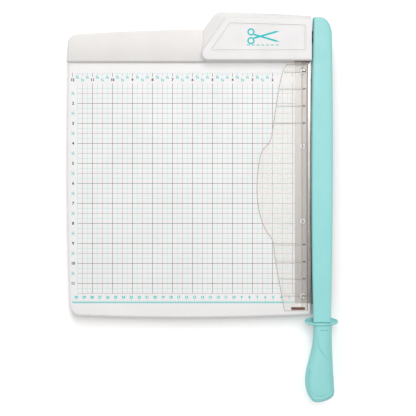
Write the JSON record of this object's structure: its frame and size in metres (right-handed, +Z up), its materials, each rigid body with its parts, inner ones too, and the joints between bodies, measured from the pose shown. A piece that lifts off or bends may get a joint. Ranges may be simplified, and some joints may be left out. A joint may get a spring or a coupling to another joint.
{
  "type": "guillotine paper trimmer",
  "caption": "Lever-arm paper trimmer: white platform with printed rulers, rear fence, pivot hood, steel bed knife, wavy clear guard and a mint arm with blade and handle.",
  "frame": {"origin": "centre of the whole trimmer's footprint, on the table under the rubber feet", "axes": "+X towards the lever arm, +Y towards the fence and pivot, +Z up"},
  "size_m": [0.3441, 0.4924, 0.0475],
  "materials": {
    "white_shell": "satin moulded white plastic",
    "grey_rail": "satin moulded light grey plastic",
    "mint_shell": "satin moulded mint plastic",
    "clear_plastic": "clear moulded acrylic",
    "brushed_steel": "brushed along its length",
    "blade_steel": "ground steel",
    "zinc_steel": "zinc plated sheet steel",
    "fastener_steel": "bright plated",
    "bronze": "sintered bronze",
    "nylon": "natural nylon",
    "rubber": "matt moulded rubber"
  },
  "bodies": {
    "base": {"base_plate": "white_shell", "base_walls": "white_shell", "long_ribs": "white_shell", "bay_ribs": "white_shell", "base_bosses": "white_shell", "rest_ledge": "white_shell", "rubber_feet": "rubber", "fence_rail": "grey_rail", "fence_screws": "fastener_steel", "pivot_housing": "white_shell", "hood_cover": "white_shell", "hood_panel": "white_shell", "hood_screws": "fastener_steel", "bed_knife": "brushed_steel", "bed_knife_screws": "fastener_steel", "pivot_bracket": "zinc_steel", "bracket_screws": "fastener_steel", "pivot_bushing": "bronze", "arm_bumper": "rubber"},
    "lever_arm": {"arm_cover": "mint_shell", "arm_spine": "zinc_steel", "cover_screws": "fastener_steel", "blade": "blade_steel", "blade_screws": "fastener_steel", "blade_nuts": "fastener_steel", "pivot_bolt": "fastener_steel", "pivot_spacer": "nylon", "pivot_washers": "fastener_steel", "pivot_spring": "fastener_steel", "tension_nut": "fastener_steel", "hand_guard": "mint_shell", "handle_upper": "mint_shell", "handle_lower": "mint_shell", "handle_screws": "fastener_steel"},
    "guard": {"paper_guard": "clear_plastic"},
    "lock": {"blade_lock": "mint_shell"}
  },
  "joints": [
    {"name": "arm_hinge", "type": "hinge", "parent": "base", "child": "lever_arm", "pos_m": [0.14065, 0.21345, 0.032], "axis": [-1, 0, 0], "range_deg": [0, 60]},
    {"name": "guard_lift", "type": "slide", "parent": "base", "child": "guard", "axis": [0, 0, 1], "range_m": [0, 0.003]},
    {"name": "lock_slide", "type": "slide", "parent": "base", "child": "lock", "axis": [1, 0, 0], "range_m": [0, 0.006]}
  ]
}
